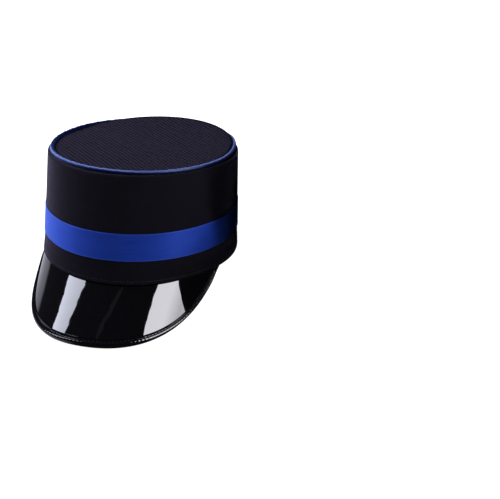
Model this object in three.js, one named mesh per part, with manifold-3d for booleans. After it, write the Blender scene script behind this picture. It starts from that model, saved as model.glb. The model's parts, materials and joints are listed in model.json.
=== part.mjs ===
import * as THREE from 'three';
import { mergeVertices } from 'three/addons/utils/BufferGeometryUtils.js';
import Module from 'manifold-3d';

// A peaked band cap: stiff cloth crown, net top, satin ribbon, piping and a steep patent peak.
// Millimetres, +Z up, the peak toward -Y. Every piece is drawn about the plane of the rim, with
// angles counted from the front toward +X. The whole cap is then tipped back until its peak and
// the back of its rim stand on the table.

// Crown: the outer ovals of the rim and of the top seam, which stands higher at the front, and
// how far the seam's middle leans off the rim's
const RIM = { halfWidth: 89.2, halfLength: 101.6 };
const SEAM = { halfWidth: 85.1, halfLength: 94.7, height: 92.6, frontRise: 1.4 };
const LEAN = { x: 1.9, y: 0.7 };
const WALL = { thickness: 2, topBevel: 1 };
const HEM = { height: 8, bulge: 0.5, roll: 1.6, bevel: 0.4, foot: { outer: 0.8, inner: 1.6 } };
const TURN_IN = { width: 8, thickness: 1.2 };

// Bands sewn to the wall, by their height above the rim
const RIBBON = { from: 20, to: 44, thickness: 1 };
const SWEATBAND = { from: 1.2, to: 40, thickness: 1.2 };
const PIPING = { radius: 1.75, inset: 3.7, sides: 8 };

// Net top: the seam allowance lifts its edge at the back, on the +X side, where the piping rolls under
const NET = {
  thickness: 1,
  dome: 2,
  lift: 8.1,
  liftAngle: THREE.MathUtils.degToRad(157),
  border: 1.2,
  borderDrop: 0.1,
};
const NET_GAP = { pitch: 12.4, width: 7.2, turn: THREE.MathUtils.degToRad(43.5), margin: 7 };

// Peak: straight from the rim to its edge, steeper and shorter toward its two ends
const PEAK = {
  halfSpan: THREE.MathUtils.degToRad(73.1),
  length: 60,
  endLength: 3.6,
  fullness: 2.48,
  taper: 1.14,
  frontSlope: THREE.MathUtils.degToRad(38.9),
  endSteepening: THREE.MathUtils.degToRad(38.5),
  forwardPull: 0.68,
  rootInset: 0.9,
  upper: 1.2,
  lining: 1,
};
const BINDING = { width: 4.4, thickness: 1, nose: 1.9, noseSteps: 6, rootClearance: 1.2 };

// Fineness, the clearance between sewn pieces, and how far the table flattens the hem and binding
const CROWN_SEGMENTS = 80;
const PEAK_SEGMENTS = 48;
const CLEARANCE = 0.3;
const PRESS = 0.5;
const TABLE = { side: 600, depth: 40 };
const SAME_POINT = 1e-4;

const wasm = await Module();
wasm.setup();

// Closed solids from rows of points

// Geometry of a closed mesh, turned so that its faces point out
function closedGeometry(points, triangles) {
  let volume = 0;
  for (const [a, b, c] of triangles) {
    volume += points[a].dot(new THREE.Vector3().crossVectors(points[b], points[c]));
  }
  const outward = volume > 0 ? triangles : triangles.map(([a, b, c]) => [a, c, b]);
  const geometry = new THREE.BufferGeometry().setFromPoints(points);
  geometry.setIndex(outward.flat());
  return geometry;
}

// Triangles that fill a flat outline, running the same way round as the outline does
function fillOutline(outline) {
  const faces = THREE.ShapeUtils.triangulateShape(outline, []);
  const sameWay = faces.filter((face) => {
    const corners = face.map((corner) => outline[corner]);
    return THREE.ShapeUtils.isClockWise(corners) === THREE.ShapeUtils.isClockWise(outline);
  });
  return sameWay.length > 0 ? faces : faces.map(([a, b, c]) => [a, c, b]);
}

// Solid through a row of outlines with equal numbers of points: a closed ring, or a bar whose
// two ends are filled by the triangles in endFaces
function loft(outlines, endFaces = null) {
  const count = outlines[0].length;
  const spans = endFaces ? outlines.length - 1 : outlines.length;
  const triangles = [];
  for (let span = 0; span < spans; span += 1) {
    const here = span * count;
    const next = ((span + 1) % outlines.length) * count;
    for (let point = 0; point < count; point += 1) {
      const after = (point + 1) % count;
      triangles.push([here + point, next + point, next + after]);
      triangles.push([here + point, next + after, here + after]);
    }
  }
  if (endFaces) {
    const last = spans * count;
    for (const [a, b, c] of endFaces) {
      triangles.push([a, b, c]);
      triangles.push([last + a, last + c, last + b]);
    }
  }
  return closedGeometry(outlines.flat(), triangles);
}

// Solids joined or cut

function toManifold(geometry) {
  const bare = geometry.clone();
  bare.deleteAttribute('normal');
  bare.deleteAttribute('uv');
  const merged = mergeVertices(bare, SAME_POINT);
  const vertProperties = new Float32Array(merged.attributes.position.array);
  const triVerts = new Uint32Array(merged.index.array);
  return new wasm.Manifold(new wasm.Mesh({ numProp: 3, vertProperties, triVerts }));
}

function toGeometry(manifold) {
  const mesh = manifold.getMesh();
  const geometry = new THREE.BufferGeometry();
  geometry.setAttribute('position', new THREE.BufferAttribute(mesh.vertProperties, 3));
  geometry.setIndex(new THREE.BufferAttribute(mesh.triVerts, 1));
  return geometry;
}

// Crown

function seamHeight(angle) {
  return SEAM.height + SEAM.frontRise * Math.cos(angle);
}

// Point at an angle round the crown: out of its oval wall, and up from the plane of the rim
function crownPoint(angle, { out, up }) {
  const rise = up / SEAM.height;
  const halfWidth = THREE.MathUtils.lerp(RIM.halfWidth, SEAM.halfWidth, rise);
  const halfLength = THREE.MathUtils.lerp(RIM.halfLength, SEAM.halfLength, rise);
  const across = Math.sin(angle);
  const forward = Math.cos(angle);
  const normal = new THREE.Vector2(halfLength * across, halfWidth * forward).normalize();
  const x = LEAN.x * rise + halfWidth * across + normal.x * out;
  const y = LEAN.y * rise - halfLength * forward - normal.y * out;
  return new THREE.Vector3(x, y, up);
}

// Ring round the crown, from the outline of its section at each angle
function crownRing(sectionAt) {
  const outlines = [];
  for (let step = 0; step < CROWN_SEGMENTS; step += 1) {
    const angle = (2 * Math.PI * step) / CROWN_SEGMENTS;
    outlines.push(sectionAt(angle).map((corner) => crownPoint(angle, corner)));
  }
  return loft(outlines);
}

// Wall section: padded hem, straight side, and the top edge turned in to carry the net
function wallSection(angle) {
  const top = seamHeight(angle);
  return [
    { out: -HEM.foot.outer, up: 0 },
    { out: 0.5 * HEM.bulge, up: HEM.bevel },
    { out: HEM.bulge, up: HEM.roll },
    { out: HEM.bulge, up: HEM.height - HEM.roll },
    { out: 0, up: HEM.height },
    { out: 0, up: top - WALL.topBevel },
    { out: -WALL.topBevel, up: top },
    { out: -TURN_IN.width, up: top },
    { out: -TURN_IN.width, up: top - TURN_IN.thickness },
    { out: -WALL.thickness, up: top - TURN_IN.thickness },
    { out: -WALL.thickness, up: HEM.bevel },
    { out: -HEM.foot.inner, up: 0 },
  ];
}

// Flat band with a rectangular section, from its inner face outward
function bandSection(inner, { from, to, thickness }) {
  return [
    { out: inner, up: from },
    { out: inner + thickness, up: from },
    { out: inner + thickness, up: to },
    { out: inner, up: to },
  ];
}

function pipingSection(angle) {
  const middle = seamHeight(angle) + CLEARANCE + PIPING.radius;
  const section = [];
  for (let side = 0; side < PIPING.sides; side += 1) {
    const turn = (2 * Math.PI * side) / PIPING.sides;
    const out = PIPING.radius * Math.cos(turn) - PIPING.inset;
    const up = PIPING.radius * Math.sin(turn) + middle;
    section.push({ out, up });
  }
  return section;
}

// Net top

const NET_EDGE = -(PIPING.inset + PIPING.radius + CLEARANCE);

function netLift(angle) {
  return NET.lift * Math.max(0, Math.cos(angle - NET.liftAngle));
}

// Height of the net's underside, from the seam it is sewn into to the low dome of its middle
function netUnderside(x, y) {
  const across = (x - LEAN.x) / SEAM.halfWidth;
  const back = (y - LEAN.y) / SEAM.halfLength;
  const angle = Math.atan2(across, -back);
  const reach = Math.hypot(across, back);
  const plane = SEAM.height - SEAM.frontRise * back;
  return plane + CLEARANCE + netLift(angle) * reach ** 2 + NET.dome * (1 - reach ** 2);
}

// Upright border of the net, from the turned-in edge of the wall up to the panel
function netBorderSection(angle) {
  const foot = seamHeight(angle) + CLEARANCE;
  const edge = crownPoint(angle, { out: NET_EDGE, up: foot });
  const head = netUnderside(edge.x, edge.y) + NET.thickness - NET.borderDrop;
  return [
    { out: NET_EDGE, up: foot },
    { out: NET_EDGE, up: head },
    { out: NET_EDGE - NET.border, up: head },
    { out: NET_EDGE - NET.border, up: foot },
  ];
}

// Panel pierced on the bias, in rows of square gaps that stop short of the border
function netPanel() {
  const outline = [];
  for (let step = 0; step < CROWN_SEGMENTS; step += 1) {
    const angle = (2 * Math.PI * step) / CROWN_SEGMENTS;
    const edge = crownPoint(angle, { out: NET_EDGE - 0.5 * NET.border, up: seamHeight(angle) });
    outline.push(new THREE.Vector2(edge.x, edge.y));
  }
  const panel = new THREE.Shape(outline);
  const halfGap = NET_GAP.width / 2;
  const square = [[-1, -1], [1, -1], [1, 1], [-1, 1]];
  const clearWidth = SEAM.halfWidth + NET_EDGE - NET_GAP.margin - halfGap;
  const clearLength = SEAM.halfLength + NET_EDGE - NET_GAP.margin - halfGap;
  const rows = Math.ceil(SEAM.halfLength / NET_GAP.pitch);
  const middle = new THREE.Vector2(0, 0);
  for (let row = -rows; row <= rows; row += 1) {
    for (let column = -rows; column <= rows; column += 1) {
      const centre = new THREE.Vector2(column, row).multiplyScalar(NET_GAP.pitch);
      centre.rotateAround(middle, NET_GAP.turn);
      const inside = Math.hypot(centre.x / clearWidth, centre.y / clearLength) < 1;
      centre.add(LEAN);
      if (inside) {
        const corners = square.map(([across, along]) => new THREE.Vector2(across, along)
          .multiplyScalar(halfGap)
          .rotateAround(middle, NET_GAP.turn)
          .add(centre));
        panel.holes.push(new THREE.Path(corners));
      }
    }
  }
  const geometry = new THREE.ExtrudeGeometry(panel, { depth: NET.thickness, bevelEnabled: false });
  const position = geometry.attributes.position;
  for (let vertex = 0; vertex < position.count; vertex += 1) {
    const under = netUnderside(position.getX(vertex), position.getY(vertex));
    position.setZ(vertex, position.getZ(vertex) + under);
  }
  return geometry;
}

function crownNet() {
  const border = toManifold(crownRing(netBorderSection));
  return toGeometry(border.add(toManifold(netPanel())));
}

// Peak

// Straight line of the peak's upper face at a place across it, from -1 to 1
function peakLine(place) {
  const angle = place * PEAK.halfSpan;
  const root = crownPoint(angle, { out: -PEAK.rootInset, up: -CLEARANCE });
  const outward = crownPoint(angle, { out: 1, up: 0 }).sub(crownPoint(angle, { out: 0, up: 0 }));
  const level = outward.lerp(new THREE.Vector3(0, -1, 0), PEAK.forwardPull).normalize();
  const slope = PEAK.frontSlope + PEAK.endSteepening * place ** 2;
  const direction = level.multiplyScalar(Math.cos(slope));
  direction.z = -Math.sin(slope);
  const taper = (1 - Math.min(1, Math.abs(place)) ** PEAK.fullness) ** PEAK.taper;
  const length = PEAK.endLength + (PEAK.length - PEAK.endLength) * taper;
  return { root, direction, length };
}

// Point of the peak: along its line from the rim, and lifted off its upper face
const PLACE_NUDGE = 0.01;

function peakPoint(place, along, lift) {
  const at = (where) => {
    const { root, direction } = peakLine(where);
    return root.addScaledVector(direction, along);
  };
  const across = at(place + PLACE_NUDGE).sub(at(place - PLACE_NUDGE));
  const normal = peakLine(place).direction.cross(across).normalize();
  return at(place).addScaledVector(normal, lift);
}

// Bar across the peak, from the outline of its section at each place
function peakBar(sectionAt) {
  const outlines = [];
  for (let step = 0; step <= PEAK_SEGMENTS; step += 1) {
    const place = (2 * step) / PEAK_SEGMENTS - 1;
    outlines.push(sectionAt(place).map(({ along, lift }) => peakPoint(place, along, lift)));
  }
  const end = sectionAt(-1).map(({ along, lift }) => new THREE.Vector2(along, lift));
  return loft(outlines, fillOutline(end));
}

// One leather layer, from its upper to its lower face
function peakLayer(upper, lower) {
  return peakBar((place) => {
    const edge = peakLine(place).length - BINDING.nose;
    return [
      { along: 0, lift: upper },
      { along: 0.5 * edge, lift: upper },
      { along: edge, lift: upper },
      { along: edge, lift: lower },
      { along: 0.5 * edge, lift: lower },
      { along: 0, lift: lower },
    ];
  });
}

// Binding folded over the edge of both layers, with a round nose
const PEAK_STACK = PEAK.upper + CLEARANCE + PEAK.lining;

function bindingSection(place) {
  const edge = peakLine(place).length - BINDING.nose;
  const inner = edge - Math.min(BINDING.width, edge - BINDING.rootClearance);
  const middle = -0.5 * PEAK_STACK;
  const hollow = 0.5 * PEAK_STACK + CLEARANCE;
  const outside = hollow + BINDING.thickness;
  const nose = [];
  for (let step = 0; step <= BINDING.noseSteps; step += 1) {
    const turn = Math.PI / 2 - (Math.PI * step) / BINDING.noseSteps;
    const along = edge + BINDING.nose * Math.cos(turn);
    nose.push({ along, lift: middle + outside * Math.sin(turn) });
  }
  return [
    { along: inner, lift: middle + hollow },
    { along: inner, lift: middle + outside },
    ...nose,
    { along: inner, lift: middle - outside },
    { along: inner, lift: middle - hollow },
    { along: edge + CLEARANCE, lift: middle - hollow },
    { along: edge + CLEARANCE, lift: middle + hollow },
  ];
}

// How the cap stands: tipped back until the binding and the hem are equally low

const wallUncut = crownRing(wallSection);
const bindingUncut = peakBar(bindingSection);

function lowest(geometry, tilt) {
  const turned = geometry.clone().rotateX(-tilt);
  turned.computeBoundingBox();
  return turned.boundingBox.min.z;
}

const TILT_SEARCH = { most: Math.PI / 6, rounds: 40 };

function restTilt() {
  let low = 0;
  let high = TILT_SEARCH.most;
  for (let round = 0; round < TILT_SEARCH.rounds; round += 1) {
    const tilt = (low + high) / 2;
    if (lowest(bindingUncut, tilt) < lowest(wallUncut, tilt)) {
      low = tilt;
    } else {
      high = tilt;
    }
  }
  return low;
}

const cap = new THREE.Group();
cap.rotation.x = -restTilt();
cap.position.z = -lowest(wallUncut, -cap.rotation.x) - PRESS;
cap.updateMatrix();

// What the table presses flat
function pressedFlat(geometry) {
  const table = new THREE.BoxGeometry(TABLE.side, TABLE.side, TABLE.depth);
  table.translate(0, 0, -TABLE.depth / 2);
  table.applyMatrix4(cap.matrix.clone().invert());
  return toGeometry(toManifold(geometry).subtract(toManifold(table)));
}

// Finishes and pieces

const cloth = new THREE.MeshStandardMaterial({ color: 0x121216, roughness: 0.85 });
const netting = new THREE.MeshStandardMaterial({ color: 0x15141b, roughness: 0.7 });
const satin = new THREE.MeshStandardMaterial({ color: 0x1f3c9c, roughness: 0.35 });
const cording = new THREE.MeshStandardMaterial({ color: 0x2b4fb6, roughness: 0.45 });
const smoothLeather = new THREE.MeshStandardMaterial({ color: 0x131314, roughness: 0.55 });
const grainedLeather = new THREE.MeshStandardMaterial({ color: 0x151515, roughness: 0.7 });
const patent = new THREE.MeshStandardMaterial({ color: 0x050506, roughness: 0.06 });
const boundPatent = new THREE.MeshStandardMaterial({ color: 0x08080a, roughness: 0.15 });

function addPiece(name, geometry, material) {
  const piece = new THREE.Mesh(geometry, material);
  piece.name = name;
  cap.add(piece);
}

const underWall = -(WALL.thickness + CLEARANCE + SWEATBAND.thickness);
const liningTop = -(PEAK.upper + CLEARANCE);
addPiece('crown_wall', pressedFlat(wallUncut), cloth);
addPiece('crown_net', crownNet(), netting);
addPiece('top_piping', crownRing(pipingSection), cording);
addPiece('ribbon', crownRing(() => bandSection(CLEARANCE, RIBBON)), satin);
addPiece('sweatband', crownRing(() => bandSection(underWall, SWEATBAND)), smoothLeather);
addPiece('peak', peakLayer(0, -PEAK.upper), patent);
addPiece('peak_lining', peakLayer(liningTop, liningTop - PEAK.lining), grainedLeather);
addPiece('peak_binding', pressedFlat(bindingUncut), boundPatent);

// The origin lies on the table, under the middle of the cap
const middle = new THREE.Box3().setFromObject(cap, true).getCenter(new THREE.Vector3());
cap.position.x = -middle.x;
cap.position.y = -middle.y;

const object = new THREE.Group();
object.add(cap);

export default object;
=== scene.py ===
# %% [markdown]
# A peaked band cap, dressed in Blender. The real cap is a stiff oval band covered in black twill, with
# a net for a top, a blue satin cord round the top seam, a blue satin ribbon round the band, and a
# steep patent peak sewn under the front of the rim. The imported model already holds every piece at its
# real size, so this lesson only dresses them: each cell makes one piece or one finish, in metres, in
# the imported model's own frame. Left and right are those of the picture, so right is +X.

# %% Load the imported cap
import json
import math

import bmesh
import bpy
import numpy as np
from mathutils import Matrix, Vector


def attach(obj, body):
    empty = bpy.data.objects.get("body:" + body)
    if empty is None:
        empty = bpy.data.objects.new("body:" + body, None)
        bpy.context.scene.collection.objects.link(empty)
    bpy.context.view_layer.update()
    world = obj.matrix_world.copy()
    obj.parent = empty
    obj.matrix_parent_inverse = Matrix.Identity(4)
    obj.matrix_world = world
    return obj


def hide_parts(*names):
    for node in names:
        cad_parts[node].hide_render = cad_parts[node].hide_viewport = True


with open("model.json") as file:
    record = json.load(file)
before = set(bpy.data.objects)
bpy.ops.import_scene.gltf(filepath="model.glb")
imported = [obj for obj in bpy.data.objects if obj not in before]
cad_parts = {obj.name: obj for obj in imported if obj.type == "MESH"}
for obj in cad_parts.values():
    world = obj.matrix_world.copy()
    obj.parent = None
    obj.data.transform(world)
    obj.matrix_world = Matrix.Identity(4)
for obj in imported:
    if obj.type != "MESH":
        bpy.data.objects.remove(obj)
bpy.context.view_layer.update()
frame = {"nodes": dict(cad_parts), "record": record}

MM = 0.001


print("nodes:", ", ".join(sorted(frame["nodes"])))

# %% [markdown]
# The cap is drawn upright, as it is worn: the plane of the rim is level, the peak points to -Y and
# angles run from the front toward +X. On the table it stands tipped back on its peak and the back of
# its rim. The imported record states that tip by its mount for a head, so one function can move every
# drawn point to its place on the table, and press flat whatever would sink into it.

# %% How the cap stands
head = next(mount for mount in frame["record"]["mounts"] if mount["name"] == "head")
RIM_MIDDLE = np.array(head["pos_m"])
TIP = math.atan2(-head["axis"][1], -head["axis"][2])


def stand(points):
    """Points of the upright cap, moved to where it stands on the table."""
    x, y, z = np.moveaxis(np.asarray(points, float), -1, 0)
    back = y * math.cos(TIP) + z * math.sin(TIP)
    height = z * math.cos(TIP) - y * math.sin(TIP)
    placed = np.stack((x, back, height), axis=-1) + RIM_MIDDLE
    placed[..., 2] = np.maximum(placed[..., 2], 0)
    return placed


print("tipped back by", round(math.degrees(TIP), 2), "degrees")

# %% [markdown]
# The band is a slightly tapered oval tube. Any point on it, or near it, is given by an angle round the
# crown, a distance out of its wall and a height above the rim. Cloth glued over a stiffener is never
# quite even, so a few slow swells, a fraction of a millimetre deep, run round the wall between its two
# edges. Random noise could give them too, but sums of cosines close on themselves and come out the
# same at each run.

# %% The oval of the crown
RIM = {"half_width": 89.2 * MM, "half_length": 101.6 * MM}
SEAM = {"half_width": 85.1 * MM, "half_length": 94.7 * MM, "height": 92.6 * MM, "front_rise": 1.4 * MM}
LEAN = {"x": 1.9 * MM, "y": 0.7 * MM}
CLEARANCE = 0.3 * MM
SWELLS = ((3, 0.4, 0.20 * MM), (7, 1.9, 0.10 * MM), (11, 4.0, 0.06 * MM))


def crown_point(angle, out, up):
    """Points at angles round the crown, out of its wall and up from the rim."""
    rise = up / SEAM["height"]
    half_width = RIM["half_width"] + (SEAM["half_width"] - RIM["half_width"]) * rise
    half_length = RIM["half_length"] + (SEAM["half_length"] - RIM["half_length"]) * rise
    across, forward = np.sin(angle), np.cos(angle)
    size = np.hypot(half_length * across, half_width * forward)
    x = LEAN["x"] * rise + half_width * across + half_length * across / size * out
    y = LEAN["y"] * rise - half_length * forward - half_width * forward / size * out
    return np.stack(np.broadcast_arrays(x, y, up), axis=-1)


def waves(table, angle):
    """Sum of waves round the crown from rows of count, start and size."""
    return sum(size * np.cos(count * angle + start) for count, start, size in table)


def swell(angle, up):
    """How far the covered wall swells out there."""
    return waves(SWELLS, angle) * np.sin(np.pi * np.clip(up / SEAM["height"], 0, 1))


def seam_height(angle):
    """Height of the top seam, which rises a little toward the front."""
    return SEAM["height"] + SEAM["front_rise"] * np.cos(angle)


rim_line = crown_point(np.linspace(0, 2 * np.pi, 400), 0, 0.0)
girth = np.linalg.norm(np.diff(rim_line, axis=0), axis=1).sum()
print("round the outside of the rim, mm:", round(girth / MM))

# %% [markdown]
# Nearly every piece is a section swept round the cap. Blender's curves could sweep one, but their
# sections can't change on the way, so one helper builds them all: it takes a row of closed sections,
# joins them with quads and gives them a UV map in metres, along the row and round the section. A weave
# drawn in that map then has its real size on every piece. A second helper rounds the corners of a
# section, because cut leather and folded cloth have no sharp ones.

# %% Helpers for swept pieces
SHARP_FOLD = math.radians(50)
CORNER_STEPS = 4


def rounded_outline(corners, spacing):
    """Closed outline through corners (x, y, radius), rounded there and cut into steps of a spacing."""
    bends = []
    for index, (x, y, radius) in enumerate(corners):
        corner = np.array((x, y))
        before = np.array(corners[index - 1][:2]) - corner
        after = np.array(corners[(index + 1) % len(corners)][:2]) - corner
        start = corner + before * radius / np.linalg.norm(before)
        end = corner + after * radius / np.linalg.norm(after)
        for share in np.linspace(0, 1, CORNER_STEPS):
            bends.append((1 - share) ** 2 * start + 2 * share * (1 - share) * corner + share**2 * end)
    outline = []
    for here, there in zip(bends, bends[1:] + bends[:1]):
        steps = max(1, math.ceil(np.linalg.norm(there - here) / spacing))
        outline += [here + (there - here) * step / steps for step in range(steps)]
    return np.array(outline)


def piece_of(name, shell):
    """Object from a bmesh, its faces turned outward and shaded smooth but for sharp folds."""
    bmesh.ops.recalc_face_normals(shell, faces=shell.faces)
    mesh = bpy.data.meshes.new(name)
    shell.to_mesh(mesh)
    shell.free()
    mesh.shade_smooth()
    mesh.set_sharp_from_angle(angle=SHARP_FOLD)
    piece = bpy.data.objects.new(name, mesh)
    bpy.context.scene.collection.objects.link(piece)
    return piece


def new_piece(name, points, faces, uvs):
    """Object with those points and faces, and UVs in metres."""
    draft = bpy.data.meshes.new("draft")
    draft.from_pydata(np.asarray(points).reshape(-1, 3).tolist(), [], faces)
    layer = draft.uv_layers.new(name="metres")
    layer.uv.foreach_set("vector", np.asarray(uvs, np.float32).ravel())
    shell = bmesh.new()
    shell.from_mesh(draft)
    bpy.data.meshes.remove(draft)
    return piece_of(name, shell)


def run_lengths(points, axis):
    """Lengths run along one axis of a grid of points, closed, from zero up."""
    steps = np.linalg.norm(np.roll(points, -1, axis=axis) - points, axis=-1)
    return np.concatenate(([0], np.cumsum(steps.mean(axis=1 - axis))))


def swept(name, sections, ring):
    """Closed piece through a row of closed sections: a ring, or a bar with its two ends filled."""
    rows, columns = sections.shape[:2]
    row, column = np.mgrid[0 : rows if ring else rows - 1, 0:columns]
    corner_row = np.stack((row, row + 1, row + 1, row), axis=-1).reshape(-1, 4)
    corner_column = np.stack((column, column, column + 1, column + 1), axis=-1).reshape(-1, 4)
    faces = ((corner_row % rows) * columns + corner_column % columns).tolist()
    along, around = run_lengths(sections, 0), run_lengths(sections, 1)
    uvs = np.stack((along[corner_row], around[corner_column]), axis=-1).reshape(-1, 2)
    if not ring:
        first = np.arange(columns)
        faces += [first.tolist(), (first + (rows - 1) * columns)[::-1].tolist()]
        ends = np.stack((around[first], around[first] * 0), axis=-1)
        uvs = np.concatenate((uvs, ends, ends[::-1]))
    return new_piece(name, sections, faces, uvs)


def dress(piece, finish, node=None):
    """Gives a piece its finish and its body, and the solid that it stands for."""
    piece.data.materials.append(finish)
    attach(piece, "root")
    if node:
        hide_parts(node)
    triangles = sum(len(face.vertices) - 2 for face in piece.data.polygons)
    print(f"{piece.name}: {triangles} triangles, finish {finish.name}, in place of {node or 'nothing'}")


print("corner steps:", CORNER_STEPS)

# %% [markdown]
# Finishes are node materials. Each one starts from the Principled shader and adds only what its real
# surface shows. These small helpers keep the node code short: they add a node, fill or link a socket,
# mix two colours, and turn a height pattern into a bump.

# %% Helpers for nodes
BLACK, WHITE = (0, 0, 0), (1, 1, 1)


def new_finish(name):
    """New node material and its Principled shader."""
    finish = bpy.data.materials.new(name)
    finish.use_nodes = True
    return finish, finish.node_tree, finish.node_tree.nodes["Principled BSDF"]


def fill(tree, socket, value):
    """Links another node's output to a socket, or sets a plain value there."""
    if isinstance(value, bpy.types.NodeSocket):
        tree.links.new(value, socket)
    else:
        socket.default_value = value


def add_node(tree, kind, inputs=None, **settings):
    """New node with its settings, its inputs linked or filled."""
    made = tree.nodes.new("ShaderNode" + kind)
    for name, value in settings.items():
        setattr(made, name, value)
    for name, value in (inputs or {}).items():
        fill(tree, made.inputs[name], value)
    return made


def tint(tree, share, under, over, blend="MIX"):
    """Two colours mixed by a share."""
    made = add_node(tree, "Mix", data_type="RGBA", blend_type=blend)
    for name, value in (("Factor", share), ("A", under), ("B", over)):
        socket = next(each for each in made.inputs if each.name == name and each.enabled)
        fill(tree, socket, (*value, 1) if isinstance(value, tuple) else value)
    return next(each for each in made.outputs if each.enabled)


def bumped(tree, shader, height, depth, strength=1.0):
    """Bump on the shader from a height pattern of 0 to 1, which is a depth in metres."""
    made = add_node(tree, "Bump", {"Height": height, "Distance": depth, "Strength": strength})
    tree.links.new(made.outputs["Normal"], shader.inputs["Normal"])


def set_shader(tree, shader, **sockets):
    """Fills or links the shader's sockets, named in lower case with underscores."""
    names = {socket.name.lower().replace(" ", "_"): socket.name for socket in shader.inputs}
    for name, value in sockets.items():
        fill(tree, shader.inputs[names[name]], value)


print("helpers for nodes are ready")

# %% [markdown]
# Weave, grain and wear are patterns drawn in the metre-true UVs, so each is given by its real size: so
# many blobs to a metre, or threads so far apart. Photographs of cloth could stand in for them, but
# patterns that are worked out stay sharp at any distance and bring no foreign light with them.

# %% Helpers for patterns
WAVE_LENGTH = 2 * math.pi / 20


def surface_metres(tree, stretch=(1, 1, 1), turn=0.0):
    """The metre-true UVs, stretched and turned."""
    uv = add_node(tree, "UVMap", uv_map="metres").outputs["UV"]
    inputs = {"Vector": uv, "Scale": stretch, "Rotation": (0, 0, turn)}
    return add_node(tree, "Mapping", inputs).outputs["Vector"]


def noise(tree, vector, scale, detail=3.0):
    """Soft random pattern with so many blobs to a metre."""
    return add_node(tree, "TexNoise", {"Vector": vector, "Scale": scale, "Detail": detail}).outputs["Fac"]


def threads(tree, vector, pitch, direction="X", wobble=0.0):
    """Parallel threads a pitch apart, as a height from 0 to 1."""
    inputs = {"Vector": vector, "Scale": WAVE_LENGTH / pitch, "Distortion": wobble}
    made = add_node(tree, "TexWave", inputs, wave_type="BANDS", bands_direction=direction)
    made.inputs["Detail"].default_value = 2.0
    made.inputs["Detail Scale"].default_value = 2.0
    return made.outputs["Fac"]


def ramp(tree, factor, low, high, start=0.0, end=1.0):
    """Colour that runs from low to high as the factor goes from start to end."""
    made = add_node(tree, "ValToRGB", {"Fac": factor})
    for element, position, colour in zip(made.color_ramp.elements, (start, end), (low, high)):
        element.position = position
        element.color = (*colour, 1)
    return made.outputs["Color"]


def spread(tree, factor, low, high):
    """Number that runs from low to high as the factor goes from 0 to 1."""
    return add_node(tree, "MapRange", {"Value": factor, "To Min": low, "To Max": high}).outputs["Result"]


def maths(tree, operation, first, second):
    """Sum, product or other join of two patterns."""
    return add_node(tree, "Math", {0: first, 1: second}, operation=operation).outputs["Value"]


print("one wave of the thread pattern, m:", round(WAVE_LENGTH, 3))

# %% [markdown]
# The camera comes early, so that every later piece can be judged from it. It stands where the picture
# of the cap was taken: the cap is left of the middle, seen from its front, a little from its right and
# from above. A shifted lens could place the cap in the picture too, but a shift stays when the camera
# moves to other sides. So the camera looks straight along its axis, and the middle of the band falls on
# its pixel because of where the camera stands.

# %% Camera
PICTURE = {"width": 500, "height": 499}
VIEW = {"azimuth": math.radians(14.56), "elevation": math.radians(32.44), "distance": 0.827}
FOCAL_PIXELS = 884.6
BAND_MIDDLE_PIXEL = (142.7, 188.6)
BAND_MIDDLE_HEIGHT = 51.5 * MM

camera_data = bpy.data.cameras.new("camera")
camera_data.lens = FOCAL_PIXELS * camera_data.sensor_width / PICTURE["width"]
camera = bpy.data.objects.new("camera", camera_data)
bpy.context.scene.collection.objects.link(camera)
bpy.context.scene.camera = camera


def toward(azimuth, elevation):
    """Unit vector toward a direction, with azimuth counted from the front toward +X."""
    level = math.cos(elevation)
    return Vector((math.sin(azimuth) * level, -math.cos(azimuth) * level, math.sin(elevation)))


view_back = toward(VIEW["azimuth"], VIEW["elevation"])
view_right = Vector((math.cos(VIEW["azimuth"]), math.sin(VIEW["azimuth"]), 0))
view_up = view_back.cross(view_right)
metres_per_pixel = VIEW["distance"] / FOCAL_PIXELS
pixels_right = BAND_MIDDLE_PIXEL[0] - PICTURE["width"] / 2
pixels_down = BAND_MIDDLE_PIXEL[1] - PICTURE["height"] / 2
band_middle = Vector(stand((0, 0, BAND_MIDDLE_HEIGHT)))
camera.location = band_middle + view_back * VIEW["distance"]
camera.location += (view_up * pixels_down - view_right * pixels_right) * metres_per_pixel
camera.rotation_euler = Matrix((view_right, view_up, view_back)).transposed().to_euler()
print("lens, mm:", round(camera_data.lens, 1), "camera at", [round(side, 3) for side in camera.location])

# %% [markdown]
# The twill of the wall is matt and nearly black. Its diagonal ribs are about 0.7 mm apart, far too
# fine to model, so they are a wave pattern along the diagonal of the UVs that sets colour and bump
# together. Sheen gives the soft purple-grey bloom that cloth shows at a glancing angle, and a few
# paler specks stand for lint.

# %% Finish: black twill
TWILL = {"pitch": 0.7 * MM, "lean": math.radians(52), "wobble": 0.4, "depth": 0.08 * MM}
TWILL_DARK, TWILL_PALE = (0.0028, 0.0026, 0.0040), (0.0092, 0.0084, 0.0122)
TWILL_SHADE, LINT = (0.6, 0.6, 0.62), (0.05, 0.05, 0.055)
TWILL_BLOBS = {"fuzz": 2600, "shade": 30, "lint": 900}


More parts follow.
